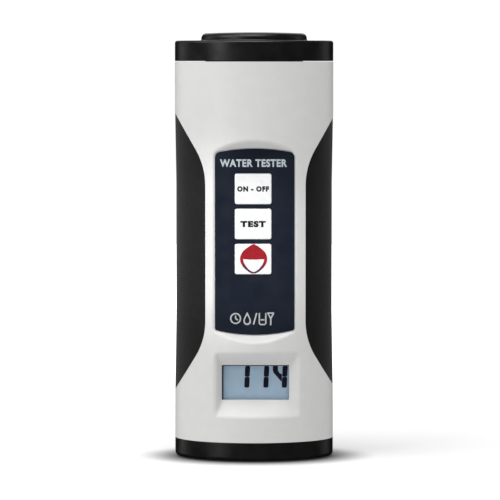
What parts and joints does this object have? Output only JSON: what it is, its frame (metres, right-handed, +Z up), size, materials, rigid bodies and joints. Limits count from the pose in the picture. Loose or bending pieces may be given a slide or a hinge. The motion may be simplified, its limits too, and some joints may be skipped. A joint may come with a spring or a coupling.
{
  "type": "digital water tester",
  "caption": "Upright oval handheld water photometer with white shells, rubber side grips, keys and display, and a lift-off black cap over its built-in sample cell.",
  "frame": {"origin": "centre of the underside, on the plane of the feet", "axes": "+X to the right seen from the front, +Y from the front (label and display) to the back, +Z up to the cap"},
  "size_m": [0.0615, 0.0484, 0.165],
  "materials": {
    "case_white": "fine satin moulding",
    "cap_black": "fine spark texture",
    "grip_rubber": "soft-touch matt",
    "seal_rubber": "matt",
    "label_navy": "satin printed film",
    "key_white": "semi-gloss",
    "window_clear": "clear, hard-coated",
    "lcd_glass": "blue-grey liquid crystal",
    "cell_clear": "clear acrylic",
    "emitter_clear": "clear epoxy",
    "detector_black": "dark filter epoxy",
    "board_green": "solder mask",
    "chip_black": "moulded epoxy",
    "capacitor_can": "satin",
    "connector_ivory": "moulded",
    "ribbon_white": "film",
    "switch_black": "moulded",
    "plunger_ivory": "moulded",
    "tray_black": "moulded",
    "battery_jacket": "printed film over steel can",
    "contact_nickel": "nickel plated",
    "lead_red": "insulation",
    "lead_black": "insulation",
    "screw_steel": "zinc plated",
    "plate_grey": "printed film, blank"
  },
  "bodies": {
    "housing": {"base_cap": "cap_black", "base_feet": "seal_rubber", "base_gasket": "seal_rubber", "base_screws": "screw_steel", "battery_1": "battery_jacket", "battery_2": "battery_jacket", "battery_3": "battery_jacket", "battery_4": "battery_jacket", "battery_springs": "contact_nickel", "battery_tray": "tray_black", "block_screws": "screw_steel", "board_capacitors": "capacitor_can", "board_chips": "chip_black", "board_screws": "screw_steel", "case_screws": "screw_steel", "cell_block": "cap_black", "contact_plates": "contact_nickel", "cover_o_ring": "seal_rubber", "deck_screws": "screw_steel", "detector_board": "board_green", "front_shell": "case_white", "grip_left": "grip_rubber", "grip_right": "grip_rubber", "label_panel": "label_navy", "lcd_contact_strips": "seal_rubber", "lcd_glass": "lcd_glass", "lcd_holder": "cap_black", "lcd_window": "window_clear", "lead_black": "lead_black", "lead_red": "lead_red", "light_detector": "detector_black", "light_source": "emitter_clear", "main_board": "board_green", "optics_ribbons": "ribbon_white", "processor": "chip_black", "rating_plate": "plate_grey", "rear_shell": "case_white", "ribbon_connectors": "connector_ivory", "sample_cell": "cell_clear", "side_seals": "seal_rubber", "source_board": "board_green", "switch_housings": "switch_black", "top_deck": "cap_black"},
    "cover": {"cell_cover": "cap_black", "cover_seal_pad": "seal_rubber"},
    "key_top": {"top_key": "key_white", "top_switch_plunger": "plunger_ivory"},
    "key_middle": {"middle_key": "key_white", "middle_switch_plunger": "plunger_ivory"},
    "key_bottom": {"bottom_key": "key_white", "bottom_switch_plunger": "plunger_ivory"}
  },
  "joints": [
    {"name": "cover_lift", "type": "slide", "parent": "housing", "child": "cover", "axis": [0, 0, 1], "range_m": [0, 0.03]},
    {"name": "top_key_press", "type": "slide", "parent": "housing", "child": "key_top", "axis": [0, 1, 0], "range_m": [0, 0.0005], "stiffness_N_per_m": 2000, "springref_m": -0.0005},
    {"name": "middle_key_press", "type": "slide", "parent": "housing", "child": "key_middle", "axis": [0, 1, 0], "range_m": [0, 0.0005], "stiffness_N_per_m": 2000, "springref_m": -0.0005},
    {"name": "bottom_key_press", "type": "slide", "parent": "housing", "child": "key_bottom", "axis": [0, 1, 0], "range_m": [0, 0.0005], "stiffness_N_per_m": 2000, "springref_m": -0.0005}
  ]
}
